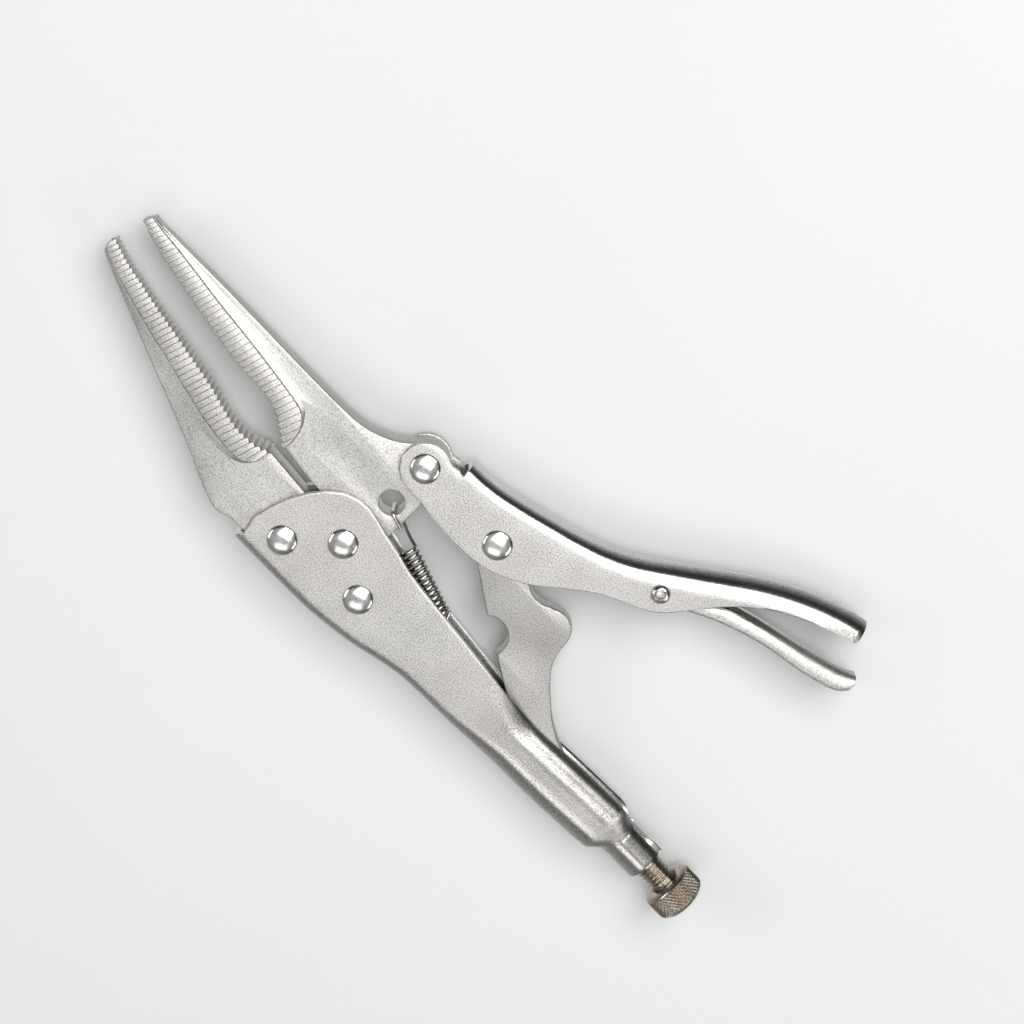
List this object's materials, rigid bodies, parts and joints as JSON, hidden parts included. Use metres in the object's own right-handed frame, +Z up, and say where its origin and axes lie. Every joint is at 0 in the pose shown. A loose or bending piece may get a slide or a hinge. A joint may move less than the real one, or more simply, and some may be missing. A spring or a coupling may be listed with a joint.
{
  "type": "locking pliers",
  "caption": "Long-nose locking pliers: two channel-shaped handles, serrated tapering jaws, a toggle link with an adjusting screw, a release lever and an opening spring.",
  "frame": {"origin": "on the jaw pivot's axis, in the plane of the bench under the lower rivet heads", "axes": "+X runs from the jaws to the knob along the adjusting screw, +Y from the fixed handle to the moving handle, +Z up from the bench on which the tool lies on its side"},
  "size_m": [0.2228, 0.1009, 0.0144],
  "materials": {
    "handle_nickel": "satin nickel plate over pressed sheet, grainy on the flats and bright on the folds",
    "jaw_steel": "satin nickel plate over forged steel",
    "link_steel": "satin nickel plate over stamped plate",
    "spring_wire": "drawn spring wire",
    "screw_nickel": "bright nickel plate, slightly warm",
    "rivet_nickel": "polished nickel plate"
  },
  "bodies": {
    "fixed_handle": {"fixed_handle": "handle_nickel", "fixed_jaw": "jaw_steel", "jaw_pivot_rivet": "rivet_nickel", "fixed_jaw_rivet_front": "rivet_nickel", "fixed_jaw_rivet_rear": "rivet_nickel", "tension_spring": "spring_wire"},
    "moving_jaw": {"moving_jaw": "jaw_steel"},
    "moving_handle": {"moving_handle": "handle_nickel", "handle_pivot_rivet": "rivet_nickel", "link_pivot_rivet": "rivet_nickel", "lever_pivot_rivet": "rivet_nickel"},
    "toggle_link": {"toggle_link": "link_steel"},
    "release_lever": {"release_lever": "handle_nickel"},
    "screw_rod": {"adjusting_screw": "screw_nickel"},
    "knob": {"knurled_knob": "screw_nickel"}
  },
  "joints": [
    {"name": "jaw_hinge", "type": "hinge", "parent": "fixed_handle", "child": "moving_jaw", "pos_m": [0, 0, 0.0072], "axis": [0, 0, 1], "range_deg": [-2, 4.7], "deforming": ["tension_spring"]},
    {"name": "handle_hinge", "type": "hinge", "parent": "moving_jaw", "child": "moving_handle", "pos_m": [-0.0004, 0.028, 0.0072], "axis": [0, 0, 1], "range_deg": [-23.42, 10]},
    {"name": "link_hinge", "type": "hinge", "parent": "moving_handle", "child": "toggle_link", "pos_m": [0.0259, 0.0278, 0.0072], "axis": [0, 0, 1], "range_deg": [-11.6, 27.1]},
    {"name": "lever_hinge", "type": "hinge", "parent": "moving_handle", "child": "release_lever", "pos_m": [0.0625, 0.0491, 0.0072], "axis": [0, 0, 1], "range_deg": [0, 5]},
    {"name": "screw_slide", "type": "slide", "parent": "fixed_handle", "child": "screw_rod", "axis": [1, 0, 0], "range_m": [0, 0.0121]},
    {"name": "knob_turn", "type": "hinge", "parent": "screw_rod", "child": "knob", "pos_m": [0.1234, -0.00305, 0.0072], "axis": [1, 0, 0], "range_deg": [0, 3600]}
  ],
  "couplings": [
    {"joint": "jaw_hinge", "follows": "handle_hinge", "ratio": -0.19513},
    {"joint": "link_hinge", "follows": "handle_hinge", "ratio": -1.1459},
    {"joint": "screw_slide", "follows": "knob_turn", "m_per_rad": 0.00019099}
  ]
}
